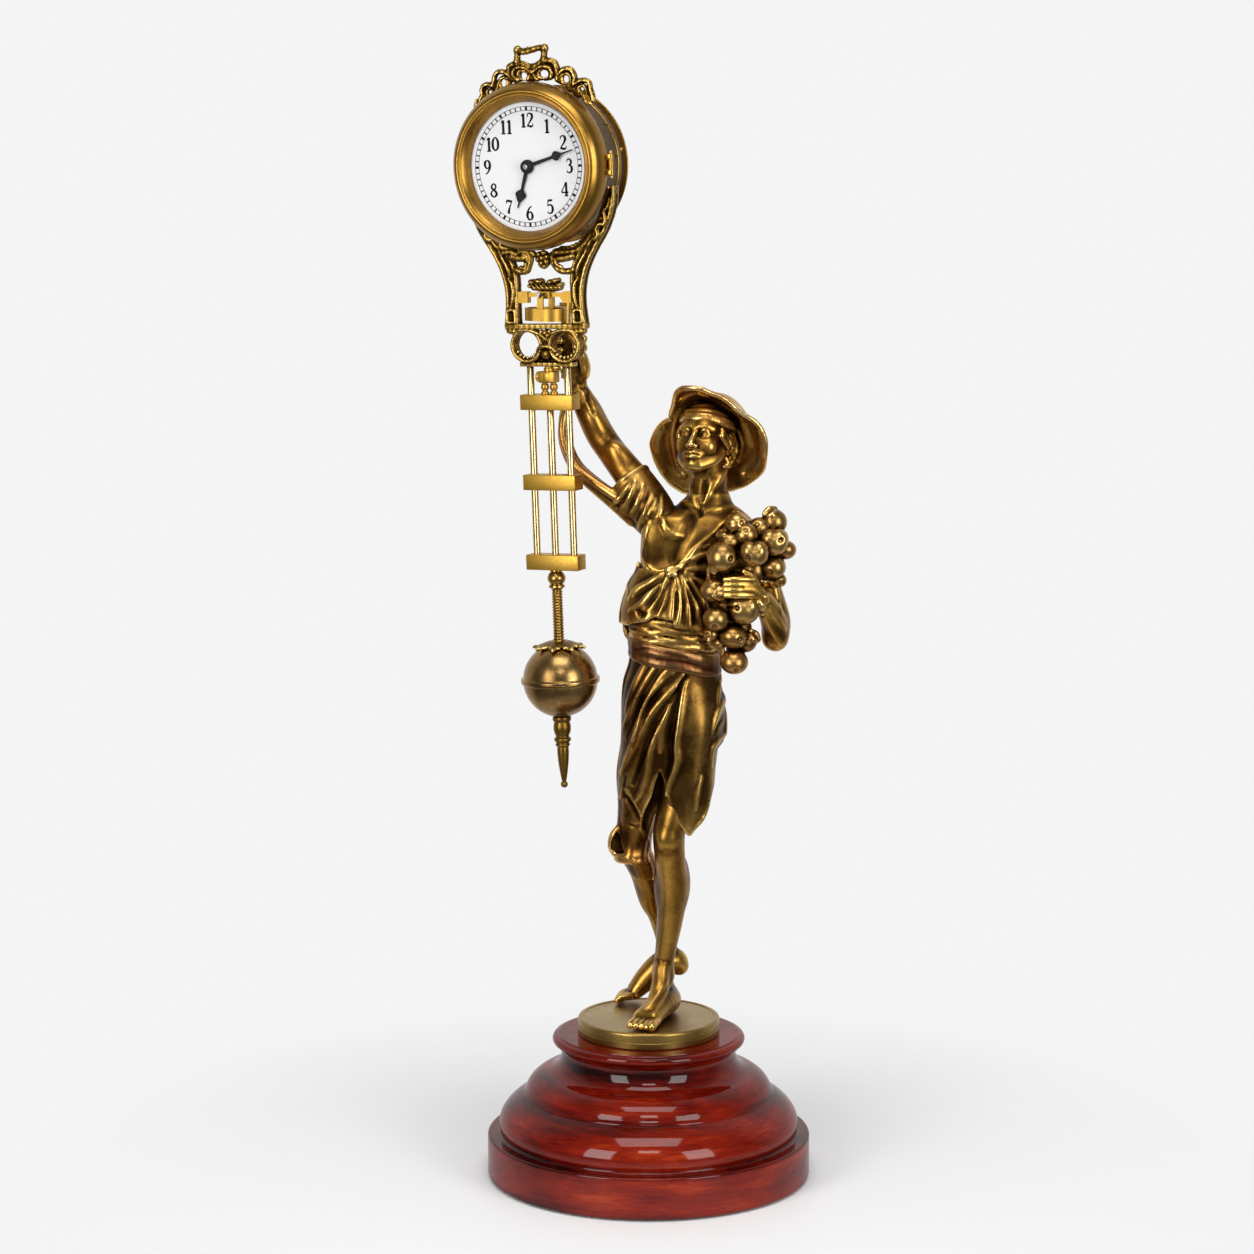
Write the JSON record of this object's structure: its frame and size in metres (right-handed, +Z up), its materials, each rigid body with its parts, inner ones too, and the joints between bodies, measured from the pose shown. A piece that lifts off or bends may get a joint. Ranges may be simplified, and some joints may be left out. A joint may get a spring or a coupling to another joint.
{
  "type": "swinging mystery clock",
  "caption": "Table clock whose head and gridiron pendulum rock together on a knife edge held up by a cast figure on a turned wooden base.",
  "frame": {"origin": "centre of the underside of the felt on the wooden base", "axes": "+Z up, +X to the right as seen from the front, the dial faces -Y"},
  "size_m": [0.238, 0.228, 0.7941],
  "materials": {
    "mahogany": "gloss",
    "green_felt": "matte",
    "bolt_steel": "satin",
    "bronze": "patinated",
    "dark_bronze": "patinated",
    "red_bronze": "patinated",
    "brass": "satin",
    "gilt": "antiqued",
    "steel": "polished",
    "white_dial": "enamelled",
    "glass": "clear",
    "black_paint": "gloss",
    "weight_metal": "rough"
  },
  "bodies": {
    "stand": {"wood_base": "mahogany", "felt_pad": "green_felt", "fixing_bolt": "bolt_steel", "figure_plate": "bronze", "legs": "bronze", "trousers": "dark_bronze", "torso": "bronze", "shirt": "dark_bronze", "head": "bronze", "hat": "dark_bronze", "raised_arm": "bronze", "sleeve": "dark_bronze", "left_arm": "bronze", "fruit_bunch": "bronze", "hand_post": "brass", "pivot_stirrup": "brass", "pivot_prongs": "steel"},
    "swinger": {"lyre_frame": "gilt", "crossbar": "brass", "knife_edge": "steel", "leaf_crown": "gilt", "scroll_knot": "gilt", "pendulum_rods": "brass", "upper_block": "brass", "middle_block": "brass", "lower_block": "brass", "rod_adjuster": "brass", "bob_collar": "brass", "screwed_rod": "brass", "crest": "gilt", "case_drum": "gilt", "rear_cover": "gilt", "cover_screws": "brass", "dial": "white_dial", "front_plate": "brass", "back_plate": "brass", "plate_pillars": "brass"},
    "bezel": {"bezel": "gilt", "crystal": "glass", "bezel_hinge_pin": "brass"},
    "bob": {"bob_shell": "bronze", "bob_weight": "weight_metal", "leaf_collar": "gilt"},
    "finial": {"rating_finial": "gilt"},
    "barrel": {"mainspring_barrel": "brass", "mainspring": "steel"},
    "winding": {"winding_arbor": "steel", "winding_key": "brass"},
    "click": {"click": "steel"},
    "intermediate": {"intermediate_wheel": "brass"},
    "centre": {"centre_wheel": "brass", "cannon_pinion": "steel", "minute_hand": "black_paint"},
    "motion_work": {"minute_wheel": "brass"},
    "hours": {"hour_wheel": "brass", "hour_hand": "black_paint"},
    "third": {"third_wheel": "brass"},
    "escape": {"escape_wheel": "brass"},
    "escapement": {"anchor": "steel", "inner_pendulum": "brass"}
  },
  "joints": [
    {"name": "swing", "type": "hinge", "parent": "stand", "child": "swinger", "pos_m": [-0.0636, -0.03105, 0.6222], "axis": [0, 1, 0], "range_deg": [-1.8, 6.2]},
    {"name": "bezel_hinge", "type": "hinge", "parent": "swinger", "child": "bezel", "pos_m": [-0.00788, -0.04305, 0.71391], "axis": [-0.0384, 0, 0.9993], "range_deg": [0, 110]},
    {"name": "bob_slide", "type": "slide", "parent": "swinger", "child": "bob", "axis": [-0.0384, 0, 0.9993], "range_m": [-0.0072, 0.0072]},
    {"name": "finial_turn", "type": "hinge", "parent": "bob", "child": "finial", "pos_m": [-0.05208, -0.03105, 0.32242], "axis": [-0.0384, 0, 0.9993], "range_deg": [-1080, 1080]},
    {"name": "centre_turn", "type": "hinge", "parent": "swinger", "child": "centre", "pos_m": [-0.06703, -0.03105, 0.71163], "axis": [0, 1, 0], "continuous": true},
    {"name": "barrel_turn", "type": "hinge", "parent": "swinger", "child": "barrel", "pos_m": [-0.06611, -0.03105, 0.68757], "axis": [0, 1, 0], "continuous": true},
    {"name": "intermediate_turn", "type": "hinge", "parent": "swinger", "child": "intermediate", "pos_m": [-0.08341, -0.03105, 0.70051], "axis": [0, 1, 0], "continuous": true},
    {"name": "third_turn", "type": "hinge", "parent": "swinger", "child": "third", "pos_m": [-0.05864, -0.03105, 0.72756], "axis": [0, 1, 0], "continuous": true},
    {"name": "escape_turn", "type": "hinge", "parent": "swinger", "child": "escape", "pos_m": [-0.07442, -0.03105, 0.73387], "axis": [0, 1, 0], "continuous": true},
    {"name": "minute_wheel_turn", "type": "hinge", "parent": "swinger", "child": "motion_work", "pos_m": [-0.05789, -0.04505, 0.7087], "axis": [0, 1, 0], "continuous": true},
    {"name": "hour_turn", "type": "hinge", "parent": "swinger", "child": "hours", "pos_m": [-0.06703, -0.04705, 0.71163], "axis": [0, 1, 0], "continuous": true},
    {"name": "winding_turn", "type": "hinge", "parent": "swinger", "child": "winding", "pos_m": [-0.06611, -0.01605, 0.68757], "axis": [0, 1, 0], "continuous": true},
    {"name": "click_lift", "type": "hinge", "parent": "swinger", "child": "click", "pos_m": [-0.05485, -0.01705, 0.6914], "axis": [0, 1, 0], "range_deg": [0, 15], "stiffness_Nm_per_rad": 0.0005, "springref_deg": -2.86},
    {"name": "anchor_rock", "type": "hinge", "parent": "swinger", "child": "escapement", "pos_m": [-0.07494, -0.03105, 0.74736], "axis": [0, 1, 0], "range_deg": [-4, 4]}
  ],
  "couplings": [
    {"joint": "barrel_turn", "follows": "centre_turn", "ratio": 0.04},
    {"joint": "intermediate_turn", "follows": "centre_turn", "ratio": -0.2},
    {"joint": "third_turn", "follows": "centre_turn", "ratio": -8},
    {"joint": "escape_turn", "follows": "centre_turn", "ratio": 60},
    {"joint": "minute_wheel_turn", "follows": "centre_turn", "ratio": -0.33333},
    {"joint": "hour_turn", "follows": "centre_turn", "ratio": 0.083333},
    {"joint": "finial_turn", "follows": "bob_slide", "rad_per_m": 2618}
  ]
}
